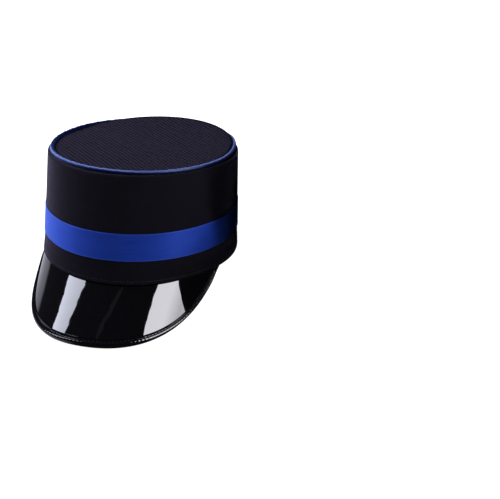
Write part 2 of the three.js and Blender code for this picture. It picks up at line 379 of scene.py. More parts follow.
def black_twill():
    finish, tree, shader = new_finish("black_twill")
    cloth = surface_metres(tree)
    diagonal = surface_metres(tree, turn=TWILL["lean"])
    ribs = threads(tree, diagonal, TWILL["pitch"], wobble=TWILL["wobble"])
    fuzz = noise(tree, cloth, TWILL_BLOBS["fuzz"])
    shade = noise(tree, cloth, TWILL_BLOBS["shade"])
    rib_height = maths(tree, "ADD", ribs, maths(tree, "MULTIPLY", fuzz, 0.6))
    colour = ramp(tree, rib_height, TWILL_DARK, TWILL_PALE, 0.25, 1.0)
    shaded = tint(tree, 0.35, colour, ramp(tree, shade, TWILL_SHADE, WHITE), "MULTIPLY")
    specks = ramp(tree, noise(tree, cloth, TWILL_BLOBS["lint"], 1.0), BLACK, WHITE, 0.74, 0.78)
    set_shader(
        tree,
        shader,
        base_color=tint(tree, maths(tree, "MULTIPLY", specks, 0.35), shaded, LINT),
        roughness=spread(tree, shade, 0.7, 0.85),
        specular_ior_level=0.0,
        sheen_weight=0.21,
        sheen_roughness=0.28,
        sheen_tint=(0.76, 0.68, 1.0, 1.0),
    )
    bumped(tree, shader, rib_height, TWILL["depth"])
    return finish


twill = black_twill()
print("twill ribs, mm apart:", TWILL["pitch"] / MM)

# %% [markdown]
# The wall is one strip of stiffened cloth, joined at the centre back and turned in at the top to carry
# the net. Its section has a soft padded hem, a straight side, the turned-in edge and the inside cloth.
# Sweeping that section round the oval gives every surface at once. The hem is soft, so it is pushed out
# and down a little over the peak, and sags behind the peak's end at the right. The join at the back is
# a narrow groove, so the rows of the sweep stand closer together there.

# %% Wall of the crown
WALL = {"thickness": 2.0 * MM, "top_roll": 1.7 * MM, "turn_in": 8.0 * MM, "turn_in_thickness": 1.2 * MM}
HEM = {"height": 10.0 * MM, "bulge": 0.5 * MM, "groove": 2.6 * MM, "groove_depth": 0.25 * MM}
HEM_GROOVE_HALF = 0.6 * MM
SAG = {"depth": 2.0 * MM, "angle": math.radians(97), "spread": math.radians(26)}
FOLD = {"out": 1.3 * MM, "down": 1.1 * MM, "angle": math.radians(18), "spread": math.radians(55)}
BACK_JOIN = {"width": 0.9 * MM, "depth": 0.5 * MM}
CROWN_ROWS = 360

even_angles = np.linspace(0, 2 * np.pi, CROWN_ROWS, endpoint=False)
join_places = np.linspace(-3, 3, 13) * BACK_JOIN["width"] / RIM["half_length"]
wall_angles = np.sort(np.concatenate((even_angles, np.pi + join_places[join_places != 0])))[:, None]


def near(angle, place):
    """How near angles are to the middle of a place on the crown, from 0 to 1."""
    off = (angle - place["angle"] + np.pi) % (2 * np.pi) - np.pi
    return np.exp(-((off / place["spread"]) ** 2))


def hem_relief(angle, up):
    """How far the hem stands out: a padded roll, pushed out over the peak, with its stitches' groove."""
    low = np.clip(1 - up / HEM["height"], 0, 1)
    groove = HEM["groove_depth"] * np.exp(-(((up - HEM["groove"]) / HEM_GROOVE_HALF) ** 2))
    return HEM["bulge"] * low**0.5 + FOLD["out"] * near(angle, FOLD) * low**2 - groove


def hem_sag(angle, out, up):
    """How far the hem's outer edge hangs down: over the peak, and behind its end at the right."""
    low = np.clip(1 - up / HEM["height"], 0, 1) ** 2
    outer = np.clip(1 + out / MM, 0, 1)
    return (SAG["depth"] * near(angle, SAG) + FOLD["down"] * near(angle, FOLD)) * low * outer


def crown_wall():
    top = SEAM["height"]
    inside = -WALL["thickness"]
    tuck = top - WALL["turn_in_thickness"]
    corners = (
        (inside, 0, 0.4 * MM),
        (0, 0, 0.9 * MM),
        (0, top, WALL["top_roll"]),
        (-WALL["turn_in"], top, 0.3 * MM),
        (-WALL["turn_in"], tuck, 0.3 * MM),
        (inside, tuck, 0.5 * MM),
    )
    out, up = rounded_outline(corners, 1.4 * MM).T
    outer = out > 0.5 * inside
    relief = np.where(outer, hem_relief(wall_angles, up), 0)
    off_join = (wall_angles - np.pi) * RIM["half_length"] / BACK_JOIN["width"]
    join = BACK_JOIN["depth"] * np.exp(-(off_join**2)) * outer
    swells = swell(wall_angles, up) * (up < tuck)
    heights = up * seam_height(wall_angles) / top - hem_sag(wall_angles, out, up)
    return swept("wall", stand(crown_point(wall_angles, out + relief + swells - join, heights)), ring=True)


dress(crown_wall(), twill, "crown_wall")

# %% [markdown]
# Satin shines along its threads: the yarns float lengthwise, so a light is smeared across them into a
# band. Blender's anisotropic shading does that, with its tangent along the UVs' first axis. Fine
# streaks along the ribbon keep it from looking like paint, and its edges are painted paler, a painted
# highlight. The cord's satin is painted paler on its crest, a painted highlight. Both finishes are
# painted nearly black, a painted shade, where a piece marks its cloth with tuck.

# %% Finish: royal-blue satin
SATIN_DEEP, SATIN_BRIGHT = (0.007, 0.024, 0.20), (0.011, 0.037, 0.28)
# The cord's two blues colour only its crest, and are painted pale there: a painted highlight.
CORD_HIGHLIGHT_DEEP, CORD_HIGHLIGHT_BRIGHT = (0.042, 0.062, 0.160), (0.077, 0.103, 0.245)
# The nearly black blue is painted shade, used where a piece marks tuck.
SELVEDGE_HIGHLIGHT_BLUE, PAINTED_SHADE_BLUE = (0.02, 0.05, 0.30), (0.0012, 0.0033, 0.027)
STREAK_STRETCH, SHADE_STRETCH = (30, 3000, 1), (14, 60, 1)
RIBBON_GLOSS = {
    "metallic": 0.05,
    "specular_ior_level": 0.08,
    "specular_tint": (0.25, 0.45, 1.0, 1.0),
    "anisotropic": 0.8,
    "anisotropic_rotation": 0.25,
    "sheen_weight": 0.4,
    "sheen_roughness": 0.4,
    "sheen_tint": (0.10, 0.25, 1.0, 1.0),
}
CORD_GLOSS = {
    "specular_ior_level": 0.12,
    "specular_tint": (0.52, 0.68, 1.0, 1.0),
    "sheen_weight": 0.1,
    "sheen_roughness": 0.4,
    "sheen_tint": (0.16, 0.32, 1.0, 1.0),
}


def marked(tree, name):
    """The number that a piece has stored at its points under a name, or 0."""
    return add_node(tree, "Attribute", attribute_name=name).outputs["Fac"]


def royal_satin(name, deep, bright, roughness, thread_pitch, gloss):
    finish, tree, shader = new_finish(name)
    length_streaks = noise(tree, surface_metres(tree, STREAK_STRETCH), 1.0, 4.0)
    slow_shade = noise(tree, surface_metres(tree, SHADE_STRETCH), 1.0, 2.0)
    yarns = threads(tree, surface_metres(tree), thread_pitch, "Y", 0.3)
    streaks = maths(tree, "ADD", length_streaks, maths(tree, "MULTIPLY", slow_shade, 0.5))
    colour = ramp(tree, streaks, deep, bright, 0.45, 1.0)
    # The marked edges are painted paler: a painted highlight.
    edge_highlighted = tint(tree, marked(tree, "selvedge"), colour, SELVEDGE_HIGHLIGHT_BLUE)
    # Where a piece marks tuck, the colour is painted nearly black: a painted shade.
    set_shader(
        tree,
        shader,
        base_color=tint(tree, marked(tree, "tuck"), edge_highlighted, PAINTED_SHADE_BLUE),
        roughness=spread(tree, length_streaks, roughness - 0.05, roughness + 0.07),
        **gloss,
    )
    tangent = add_node(tree, "Tangent", direction_type="UV_MAP", uv_map="metres")
    tree.links.new(tangent.outputs["Tangent"], shader.inputs["Tangent"])
    bumped(tree, shader, yarns, 0.02 * MM, 0.6)
    return finish


ribbon_satin = royal_satin("ribbon_satin", SATIN_DEEP, SATIN_BRIGHT, 0.46, 0.3 * MM, RIBBON_GLOSS)
cord_satin = royal_satin("cord_satin", CORD_HIGHLIGHT_DEEP, CORD_HIGHLIGHT_BRIGHT, 0.3, 0.35 * MM, CORD_GLOSS)
print("satin finishes:", ribbon_satin.name, cord_satin.name)

# %% [markdown]
# The ribbon is a strip, not a ring: it starts at the centre back, goes once round and laps over its
# own start. A ring would be simpler, but a strip whose last stretch climbs by one thickness shows the
# lap truly. Its two woven edges are a little thicker than its middle.

# %% Ribbon
RIBBON = {"from": 20.0 * MM, "to": 44.0 * MM, "thickness": 0.5 * MM, "edge": 0.12 * MM, "lap": 12.0 * MM}
SELVEDGE_WIDTH = 0.7 * MM
LAP_CLIMB, LAP_RISE = 7.0 * MM, 1.05
STRIP_ROWS, LAP_ROWS, LAP_ROWS_FROM = 420, 60, 0.2


def mark(piece, name, values):
    """Stores a number at each point of a piece, for its finish."""
    layer = piece.data.attributes.new(name, "FLOAT", "POINT")
    layer.data.foreach_set("value", np.asarray(values, np.float32).ravel())


def lapped_angles(lap):
    """Angles once round from the centre back and on over the lap, with the lap's climb there."""
    full_turn = 2 * np.pi
    once = np.linspace(0, full_turn - LAP_ROWS_FROM, STRIP_ROWS)
    over = np.linspace(full_turn - 0.95 * LAP_ROWS_FROM, full_turn + lap / RIM["half_length"], LAP_ROWS)
    angle = np.concatenate((once, over))
    climb = np.clip((angle - full_turn) * RIM["half_length"] / LAP_CLIMB + 1, 0, 1)
    return (np.pi + angle)[:, None], (climb**2 * (3 - 2 * climb))[:, None]


def satin_ribbon():
    thickness = RIBBON["thickness"]
    corners = (
        (0, RIBBON["from"], 0.1 * MM),
        (thickness, RIBBON["from"], 0.2 * MM),
        (thickness, RIBBON["to"], 0.2 * MM),
        (0, RIBBON["to"], 0.1 * MM),
    )
    out, up = rounded_outline(corners, 0.6 * MM).T
    to_edge = np.minimum(up - RIBBON["from"], RIBBON["to"] - up)
    outer = out > 0.5 * thickness
    selvedge = np.exp(-((to_edge / SELVEDGE_WIDTH) ** 2)) * outer
    angle, climb = lapped_angles(RIBBON["lap"])
    height = out + selvedge * RIBBON["edge"] + swell(angle, up) + climb * LAP_RISE * thickness
    piece = swept("ribbon_strip", stand(crown_point(angle, height, up)), ring=False)
    # The edge mark makes the woven edges thicker, and also carries the painted highlight of their colour.
    mark(piece, "selvedge", np.broadcast_to(selvedge, (len(angle), len(up))))
    return piece


dress(satin_ribbon(), ribbon_satin, "ribbon")

# %% [markdown]
# The piping is a thin cord wrapped in satin cut on the bias and sewn into the top seam. Its wrapping
# puckers where the stitches pull it, so the tube's radius and height vary by a few hundredths of a
# millimetre as it goes round. Only a narrow band on its crest is coloured pale, a painted highlight;
# on both sides of it the satin is painted nearly black, a painted shade, marked as tuck. Where the net's
# edge stands up at the back, it pulls the cord up a little at both ends of the top, and the painted
# highlight is turned outward round the cord at the left and the front.

# %% Piping
PIPING = {"radius": 1.8 * MM, "inset": 3.7 * MM, "rise": 1.75 * MM}
PUCKERS = ((47, 0.3, 0.07 * MM), (83, 2.1, 0.07 * MM), (131, 4.4, 0.05 * MM))
# The band of painted highlight round the cord, and how it fades into painted shade.
PAINTED_HIGHLIGHT = {"turn": math.radians(80), "half": math.radians(14), "fade": math.radians(28)}
PAINTED_HIGHLIGHT_TILTS = (
    {"tilt": math.radians(55), "angle": math.radians(-70), "spread": math.radians(38)},
    {"tilt": math.radians(34), "angle": math.radians(26), "spread": math.radians(24)},
)
CORD_LIFTS = (
    {"height": 1.3 * MM, "angle": math.radians(-135), "spread": math.radians(45)},
    {"height": 3.0 * MM, "angle": math.radians(116), "spread": math.radians(24)},
)
PIPING_ROWS, PIPING_SIDES = 640, 36


def top_piping():
    angle = np.linspace(0, 2 * np.pi, PIPING_ROWS, endpoint=False)[:, None]
    turn = np.linspace(0, 2 * np.pi, PIPING_SIDES, endpoint=False)
    pucker = waves(PUCKERS, angle)
    radius = PIPING["radius"] + pucker * np.sin(turn) ** 2
    out = radius * np.cos(turn) - PIPING["inset"]
    lift = sum(place["height"] * near(angle, place) for place in CORD_LIFTS) * (1 + np.sin(turn)) / 2
    up = radius * np.sin(turn) + seam_height(angle) + PIPING["rise"] + 0.5 * pucker + lift
    piece = swept("piping_cord", stand(crown_point(angle, out, up)), ring=True)
    # The painted highlight's place round the cord, turned outward at the left and the front.
    highlight_turn = PAINTED_HIGHLIGHT["turn"] - sum(place["tilt"] * near(angle, place) for place in PAINTED_HIGHLIGHT_TILTS)
    off_highlight = abs((turn - highlight_turn + np.pi) % (2 * np.pi) - np.pi)
    # Painted shade, stored as tuck: nearly black away from the painted highlight.
    mark(piece, "tuck", np.clip((off_highlight - PAINTED_HIGHLIGHT["half"]) / PAINTED_HIGHLIGHT["fade"], 0, 1))
    return piece


dress(top_piping(), cord_satin, "top_piping")

# %% [markdown]
# The net of the top is a thread mesh under a soft coating. Its colour is paler round the holes and
# dark on the knots, so each point of the net carries a number for that. The panel is a low dome, and
# at the back its edge is lifted by the seam allowance that is folded under it.

# %% Finish and shape of the net
NET = {"thickness": 0.8 * MM, "dome": 2.0 * MM, "lift": 8.1 * MM, "lift_angle": math.radians(161)}
NET_KNOT, NET_RIM = (0.0026, 0.0022, 0.0040), (0.0188, 0.0163, 0.0278)
NET_WORN = (0.4, 0.4, 0.4)
NET_BLOBS = {"grain": 1800, "wear": 120}


def coated_net():
    finish, tree, shader = new_finish("coated_net")
    grain = noise(tree, surface_metres(tree), NET_BLOBS["grain"])
    wear = noise(tree, surface_metres(tree), NET_BLOBS["wear"])
    coated = ramp(tree, marked(tree, "rim"), NET_KNOT, NET_RIM)
    worn = ramp(tree, grain, NET_WORN, WHITE, 0.3, 0.7)
    set_shader(
        tree,
        shader,
        base_color=tint(tree, 0.5, coated, worn, "MULTIPLY"),
        roughness=spread(tree, wear, 0.42, 0.6),
        specular_ior_level=0.05,
    )
    bumped(tree, shader, grain, 0.03 * MM)
    return finish


def net_height(x, y):
    """Height of the net's underside: a low dome, lifted at its edge by the seam allowance."""
    across = (x - LEAN["x"]) / SEAM["half_width"]
    back = (y - LEAN["y"]) / SEAM["half_length"]
    reach, angle = np.hypot(across, back), np.arctan2(across, -back)
    lift = NET["lift"] * np.maximum(0, np.cos(angle - NET["lift_angle"]))
    plane = SEAM["height"] - SEAM["front_rise"] * back
    return plane + CLEARANCE + lift * reach**2 + NET["dome"] * (1 - reach**2)


net_finish = coated_net()
print("net dome, mm:", round(NET["dome"] / MM, 2), "lift at its edge, mm:", round(NET["lift"] / MM, 2))

# %% [markdown]
# Holes could be painted as see-through spots, but then the net would have no thickness and no shadow.
# Here they are real: one small cell, a square with an eight-sided hole whose rim is rounded, repeated
# 3.7 mm apart on the bias. The strands cross at the corners of the cells, so those stand a little
# proud. Cells that reach past the edge of the top get no hole.

# %% Cells of the net
NET_CELL = {"pitch": 3.68 * MM, "hole": 1.28 * MM, "turn": math.radians(45.3)}
NET_STRAND = {"height": 0.4 * MM, "knot": 0.05 * MM, "rim": 1.15}
NET_INSET = 5.75 * MM
NET_MIDDLE = np.array((LEAN["x"], LEAN["y"]))
CELL_SIDES = 8
CELL_LEVELS = np.array((0, -0.15, -0.5, -0.85, -1))


def cell_rings():
    """Points round a cell on five levels: its top outline, the hole's rim in three, its bottom outline."""
    turn = np.arange(CELL_SIDES) * 2 * math.pi / CELL_SIDES
    square = 0.5 * NET_CELL["pitch"] / np.maximum(abs(np.cos(turn)), abs(np.sin(turn)))
    hole = np.full(CELL_SIDES, NET_CELL["hole"])
    radii = np.stack((square, NET_STRAND["rim"] * hole, hole, NET_STRAND["rim"] * hole, square))
    knots = np.where(np.arange(CELL_SIDES) % 2 == 1, NET_STRAND["knot"], 0)
    level = CELL_LEVELS[:, None] * NET_STRAND["height"] + np.full(CELL_SIDES, NET["thickness"])
    level[0] += knots
    level[-1] -= knots
    return np.stack((radii * np.cos(turn), radii * np.sin(turn), level), axis=-1)


def on_bias(points):
    """Points of the net's own grid, turned on the bias round the middle of the top."""
    cos, sin = math.cos(NET_CELL["turn"]), math.sin(NET_CELL["turn"])
    x, y = np.moveaxis(points, -1, 0)
    return np.stack((x * cos - y * sin, x * sin + y * cos), axis=-1) + NET_MIDDLE


def edge_share(points):
    """Share of the way from the middle of the net to its edge."""
    across = (points[..., 0] - LEAN["x"]) / (SEAM["half_width"] - NET_INSET)
    back = (points[..., 1] - LEAN["y"]) / (SEAM["half_length"] - NET_INSET)
    return np.hypot(across, back)


def net_cells():
    """Centres of all cells that touch the oval of the top, and which of them have a hole."""
    count = math.ceil(SEAM["half_length"] / NET_CELL["pitch"]) + 1
    column, row = np.meshgrid(np.arange(-count, count + 1), np.arange(-count, count + 1))
    centre = np.stack((column.ravel(), row.ravel()), axis=-1) * NET_CELL["pitch"]
    half = NET_CELL["pitch"] / 2
    corners = np.array(((-half, -half), (half, -half), (half, half), (-half, half)))
    corner_share = edge_share(on_bias(centre[:, None] + corners))
    touching = corner_share.min(axis=1) < 1
    whole = corner_share.max(axis=1) < 1
    return centre[touching], whole[touching]


print("net holes, mm across:", round(2 * NET_CELL["hole"] / MM, 2), "holes:", int(net_cells()[1].sum()))

# %% [markdown]
# The cells are set side by side, drawn in to the oval where they reach past it, and welded along their
# common sides. The open rim that is left round the oval is bridged from top to bottom, so that the net
# is one closed skin.

# %% Net top
RIM_SHARE = {"knot": 0.0, "strand": 0.4, "hole": 1.0}
WELD = 0.002 * MM


def add_cell(shell, points, spots, has_hole):
    """Adds a cell with its UVs and rim numbers: a rimmed hole, or a plain plate at the edge."""
    uv_layer = shell.loops.layers.uv["metres"]
    rim_layer = shell.verts.layers.float["rim"]
    last = len(CELL_LEVELS) - 1
    used = range(last + 1) if has_hole else (0, last)
    rows, spot_of = [], {}
    for level in used:
        row = [shell.verts.new(point) for point in points[level]]
        for side, vert in enumerate(row):
            outline = "knot" if side % 2 else "strand"
            vert[rim_layer] = RIM_SHARE[outline if level in (0, last) else "hole"]
            spot_of[vert] = spots[level, side]
        rows.append(row)
    made = [] if has_hole else [rows[0], rows[1][::-1]]
    for above, below in zip(rows, rows[1:] if has_hole else ()):
        for side in range(CELL_SIDES):
            after = (side + 1) % CELL_SIDES
            made.append((above[side], above[after], below[after], below[side]))
    for corners in made:
        for loop in shell.faces.new(corners).loops:
            loop[uv_layer].uv = spot_of[loop.vert]


def net_top():
    rings = cell_rings()
    centres, whole = net_cells()
    spots = centres[:, None, None] + rings[..., :2]
    flat = on_bias(spots)
    share = edge_share(flat)[..., None]
    flat = np.where(share > 1, NET_MIDDLE + (flat - NET_MIDDLE) / np.maximum(share, 1), flat)
    height = net_height(flat[..., 0], flat[..., 1]) + rings[..., 2]
    points = stand(np.concatenate((flat, height[..., None]), axis=-1))
    shell = bmesh.new()
    shell.loops.layers.uv.new("metres")
    shell.verts.layers.float.new("rim")
    for cell, has_hole in enumerate(whole):
        add_cell(shell, points[cell], spots[cell], has_hole)
    bmesh.ops.remove_doubles(shell, verts=shell.verts, dist=WELD)
    bmesh.ops.dissolve_degenerate(shell, edges=shell.edges, dist=WELD)
    bmesh.ops.bridge_loops(shell, edges=[side for side in shell.edges if side.is_boundary])
    print("open edges of the net:", sum(side.is_boundary for side in shell.edges))
    return piece_of("net", shell)


dress(net_top(), net_finish, "crown_net")

# %% [markdown]
# Where the net goes down into the seam its cut edge is turned over a tape. From the front the piping
# hides it. At the back the tape stands up, so it shows there as a smooth black edge above the cord. It
# is swept like the wall, but its height follows the edge of the net.

# %% Tape at the edge of the net
NET_TAPE = {"width": 1.6 * MM, "thickness": 0.6 * MM, "fold": 1.0 * MM, "overlap": 0.25 * MM}


def net_edge_tape():
    angle = even_angles[:, None]
    foot = seam_height(angle) + CLEARANCE
    edge = crown_point(angle, -NET_INSET, foot)
    edge_height = net_height(edge[..., 0], edge[..., 1])
    stretch = edge_height + NET["thickness"] + NET_TAPE["overlap"] - foot
    width, thickness, fold = NET_TAPE["width"], NET_TAPE["thickness"], NET_TAPE["fold"]
    corners = (
        (0, 0, 0.2 * MM),
        (0, fold, 0.45 * MM),
        (-width, fold, 0.2 * MM),
        (-width, fold - thickness, 0.2 * MM),
        (-thickness, fold - thickness, 0.3 * MM),
        (-thickness, 0, 0.2 * MM),
    )
    out, up = rounded_outline(corners, 0.8 * MM).T
    inner = crown_point(angle, out - NET_INSET, foot)
    slope = net_height(inner[..., 0], inner[..., 1]) - edge_height
    heights = foot + (stretch + slope) * up / fold
    return swept("net_tape", stand(crown_point(angle, out - NET_INSET, heights)), ring=True)


dress(net_edge_tape(), net_finish)

# %% [markdown]
# Two black leathers are used: a smooth one with fine creases along its length for the band inside the
# rim, and a grained one under the peak. Both are the same finish with other numbers: a cell pattern
# gives the pebbles of the grain, stretched noise gives the creases, and a share says how much of each.

# %% Finish: black leathers
LEATHER_DARK, LEATHER_PALE = (0.006, 0.0058, 0.0058), (0.016, 0.0155, 0.0155)
CREASE_STRETCH = (18, 420, 1)
SHINE_BLOBS = 60


def black_leather(name, grain_size, grain_depth, roughness, creases):
    finish, tree, shader = new_finish(name)
    hide = surface_metres(tree)
    grain = {"Vector": hide, "Scale": 1 / grain_size, "Randomness": 0.9}
    pebbles = add_node(tree, "TexVoronoi", grain).outputs["Distance"]
    lines = noise(tree, surface_metres(tree, CREASE_STRETCH), 1.0, 5.0)
    grained = maths(tree, "MULTIPLY", pebbles, 1 - creases)
    relief = maths(tree, "ADD", grained, maths(tree, "MULTIPLY", lines, creases))
    set_shader(
        tree,
        shader,
        base_color=ramp(tree, relief, LEATHER_PALE, LEATHER_DARK, 0.2, 0.8),
        roughness=spread(tree, noise(tree, hide, SHINE_BLOBS), roughness - 0.06, roughness + 0.1),
        specular_ior_level=0.4,
    )
    bumped(tree, shader, relief, grain_depth)
    return finish


band_leather = black_leather("band_leather", 0.9 * MM, 0.06 * MM, 0.5, 0.7)
lining_leather = black_leather("lining_leather", 1.3 * MM, 0.16 * MM, 0.62, 0.15)
print("leathers:", band_leather.name, lining_leather.name)

# %% [markdown]
# Inside the rim a leather sweatband carries the cap on the head. It is sewn in along its lower edge,
# lapped at the centre back and otherwise free, so slow waves grow toward its free upper edge. It is a
# lapped strip like the ribbon, on the other side of the wall, so the same helper gives its angles.

# %% Sweatband
SWEATBAND = {"from": 1.2 * MM, "to": 40.0 * MM, "thickness": 1.2 * MM, "lap": 9.0 * MM, "gap": 0.2 * MM}
BAND_WAVES = ((9, 0.8, 0.10 * MM), (17, 2.6, 0.08 * MM), (29, 5.0, 0.05 * MM))
WAVE_LEAN = 4


def sweatband():
    outer = -(WALL["thickness"] + SWEATBAND["gap"])
    inner = outer - SWEATBAND["thickness"]
    corners = (
        (outer, SWEATBAND["from"], 0.3 * MM),
        (outer, SWEATBAND["to"], 0.4 * MM),
        (inner, SWEATBAND["to"], 0.5 * MM),
        (inner, SWEATBAND["from"], 0.5 * MM),
    )
    out, up = rounded_outline(corners, 1.6 * MM).T
    angle, climb = lapped_angles(SWEATBAND["lap"])
    free = (up - SWEATBAND["from"]) / (SWEATBAND["to"] - SWEATBAND["from"])
    leaning = [(count, start + WAVE_LEAN * free, size) for count, start, size in BAND_WAVES]
    height = out - abs(waves(leaning, angle)) * free - climb * SWEATBAND["thickness"]
    return swept("sweatband_strip", stand(crown_point(angle, height, up)), ring=False)


dress(sweatband(), band_leather, "sweatband")

# %% [markdown]
# The peak is cut flat and sewn to the curved rim, which bends it into a surface of straight lines: each
# line leaves the rim steeply, and more steeply toward the two ends. A bent plane would look alike from
# afar, but the upper side is patent leather, so whatever the shape does shows in the reflections. The
# drawn lines are therefore the same as the solid's.

# %% Lines of the peak
PEAK = {
    "half_span": math.radians(73.1),
    "length": 60.0 * MM,
    "end_length": 3.6 * MM,
    "fullness": 2.48,
    "taper": 1.14,
    "front_slope": math.radians(38.9),
    "end_steepening": math.radians(38.5),
    "forward_pull": 0.68,
    "root_inset": 0.9 * MM,
    "upper": 1.2 * MM,
    "lining": 1.0 * MM,
    "nose": 1.9 * MM,
}
PLACE_NUDGE = 0.01
PEAK_PLACES = 220


def peak_line(place):
    """Root, direction and length of the peak's straight line at places from -1 to 1 across it."""
    angle = place * PEAK["half_span"]
    root = crown_point(angle, -PEAK["root_inset"], -CLEARANCE)
    outward = crown_point(angle, 1.0, 0.0) - crown_point(angle, 0.0, 0.0)
    level = outward * (1 - PEAK["forward_pull"]) + np.array((0, -PEAK["forward_pull"], 0))
    level /= np.linalg.norm(level, axis=-1, keepdims=True)
    slope = (PEAK["front_slope"] + PEAK["end_steepening"] * place**2)[..., None]
    direction = level * np.cos(slope) - np.array((0, 0, 1)) * np.sin(slope)
    fullness = (1 - np.minimum(1, abs(place)) ** PEAK["fullness"]) ** PEAK["taper"]
    length = PEAK["end_length"] + (PEAK["length"] - PEAK["end_length"]) * fullness
    return root, direction, length


def peak_point(place, along, lift):
    """Points along the peak's lines, lifted off its upper face."""
    def at(where):
        root, direction, _ = peak_line(where)
        return root + direction * along[..., None]

    across = at(place + PLACE_NUDGE) - at(place - PLACE_NUDGE)
    normal = np.cross(peak_line(place)[1], across)
    normal /= np.linalg.norm(normal, axis=-1, keepdims=True)
    return at(place) + normal * lift[..., None]


places = np.linspace(-1, 1, PEAK_PLACES)[:, None]
edge_along = peak_line(places)[2] - PEAK["nose"]
print("peak from rim to edge at the front, mm:", round(float(edge_along.max() / MM), 1))

# %% [markdown]
# Patent leather is leather under a thick clear lacquer: a black ground, a mirror-like coat, the faint
# ripple of the hide under it, and hairline scratches that only the highlights show. The shader's coat
# is that lacquer, and the roughness under it carries the scratches.

# %% Finish: patent
PATENT_DARK, PATENT_PALE = (0.0008, 0.0008, 0.0011), (0.0018, 0.0018, 0.0023)
HAIRLINE_STRETCH, HAIRLINE_TURN = (900, 40, 1), math.radians(25)
RIPPLE_BLOBS = 170


def patent(name, roughness, ripple, scuffs, coat, coat_roughness):
    finish, tree, shader = new_finish(name)
    orange_peel = noise(tree, surface_metres(tree), RIPPLE_BLOBS, 1.5)
    hairlines = noise(tree, surface_metres(tree, HAIRLINE_STRETCH, HAIRLINE_TURN), 1.0, 6.0)
    scratches = ramp(tree, hairlines, BLACK, WHITE, 0.6, 0.75)
    set_shader(
        tree,
        shader,
        base_color=ramp(tree, orange_peel, PATENT_DARK, PATENT_PALE),
        roughness=spread(tree, scratches, roughness, roughness + scuffs),
        specular_ior_level=0.1,
        coat_weight=coat,
        coat_roughness=coat_roughness,
        coat_ior=1.5,
    )
    bumped(tree, shader, orange_peel, ripple)
    return finish


peak_patent = patent("peak_patent", 0.04, 0.012 * MM, 0.05, 1.0, 0.03)
binding_patent = patent("binding_patent", 0.12, 0.02 * MM, 0.1, 0.9, 0.04)
print("patents:", peak_patent.name, binding_patent.name)

# %% [markdown]
# The peak has two leathers, one on the other: the patent upper and the grained lining. Each is a layer
# between two lifts off the same lines. The upper has slow swells, a few thousandths of a millimetre
# high, that no eye would see on a matt piece: here they make the edges of the reflections waver. Bump
# could do that too, but real swells are in the mesh itself.

# %% Peak and its lining
PEAK_SWELLS = (
    (31 * MM, 19 * MM, 0.4, 0.006 * MM),
    (-43 * MM, 14 * MM, 2.0, 0.005 * MM),
    (24 * MM, -27 * MM, 4.4, 0.004 * MM),
    (15 * MM, 9 * MM, 1.1, 0.0016 * MM),
)


def peak_layer(name, upper, lower, spacing, swells):
    """One leather layer of the peak, from its upper to its lower lift, in even steps along each line."""
    steps = np.linspace(0, 1, round(PEAK["length"] / spacing))
    share = np.concatenate((steps, steps[::-1]))
    side = np.concatenate((np.zeros(len(steps)), np.ones(len(steps))))
    along = edge_along * share
    across = places * PEAK["half_span"] * RIM["half_length"]
    lift = upper + (lower - upper) * side + 0 * along
    for over, down, start, size in swells:
        lift += size * np.sin(2 * np.pi * (across / over + along / down) + start) * (1 - side)
    return swept(name, stand(peak_point(places, along, lift)), ring=False)


lining_top = -(PEAK["upper"] + CLEARANCE)
peak_upper = peak_layer("peak_upper", 0, -PEAK["upper"], 1.0 * MM, PEAK_SWELLS)
peak_lining = peak_layer("peak_underside", lining_top, lining_top - PEAK["lining"], 1.4 * MM, ())
dress(peak_upper, peak_patent, "peak")
dress(peak_lining, lining_leather, "peak_lining")

# %% [markdown]
# A narrow strip of patent leather is folded over the edge of the peak and stitched through. The stitches
# pull a groove along it and leave a round roll at the edge. The groove slopes outward, so it mirrors the
# dark side of the room, and the roll catches the light as a thin line. Between the stitches the roll
# puckers, which breaks the ends of that line into dots. The strip narrows and thins where the peak runs
# out at its two ends.

# %% Binding of the peak
BINDING = {"width": 5.2 * MM, "root_clearance": 1.2 * MM, "flange": 0.8 * MM, "stitch_line": 3.3 * MM}
BINDING_END = {"share": 0.1, "slimmest": 0.3}
ROLL = {"middle": -0.75 * MM, "half_width": 2.65 * MM, "half_height": 2.75 * MM, "steps": 26}
GROOVE = {"half": 1.3 * MM, "floor": 0.05 * MM}
STITCH = {"pitch": 3.3 * MM, "length": 2.2 * MM, "thread": 0.55 * MM}
PUCKER = {"height": 0.11 * MM, "middle": -1.0 * MM, "reach": 1.0 * MM, "start": 0.93}
STACK = PEAK["upper"] + CLEARANCE + PEAK["lining"]
HOLLOW = 0.5 * STACK + 0.05 * MM
SEWN_PLACES = np.linspace(-0.96, 0.96, 400)
BINDING_PLACES = 660


def binding_outline():
    """Section of the folded strip: x from the leather's edge, y off the middle of the leathers."""
    low = HOLLOW + GROOVE["floor"]
    width, flange, stitch, half = BINDING["width"], BINDING["flange"], BINDING["stitch_line"], GROOVE["half"]
    start = math.pi - math.asin(low / ROLL["half_height"])
    turn = np.linspace(start, -start, ROLL["steps"])
    roll_x = ROLL["middle"] + ROLL["half_width"] * np.cos(turn)
    roll = zip(roll_x, ROLL["half_height"] * np.sin(turn))
    upper = (
        (-width, HOLLOW),
        (-width, HOLLOW + 0.5 * flange),
        (-width + 0.25 * MM, HOLLOW + flange),
        (-stitch - half, HOLLOW + 0.85 * flange),
        (-stitch - 0.5 * half, HOLLOW + 0.4 * flange),
        (-stitch, low),
    )
    under = [(x, -y) for x, y in reversed(upper)]
    cavity = [(CLEARANCE, -HOLLOW), (CLEARANCE, HOLLOW)]
    return np.array([*upper, *roll, *under, *cavity])


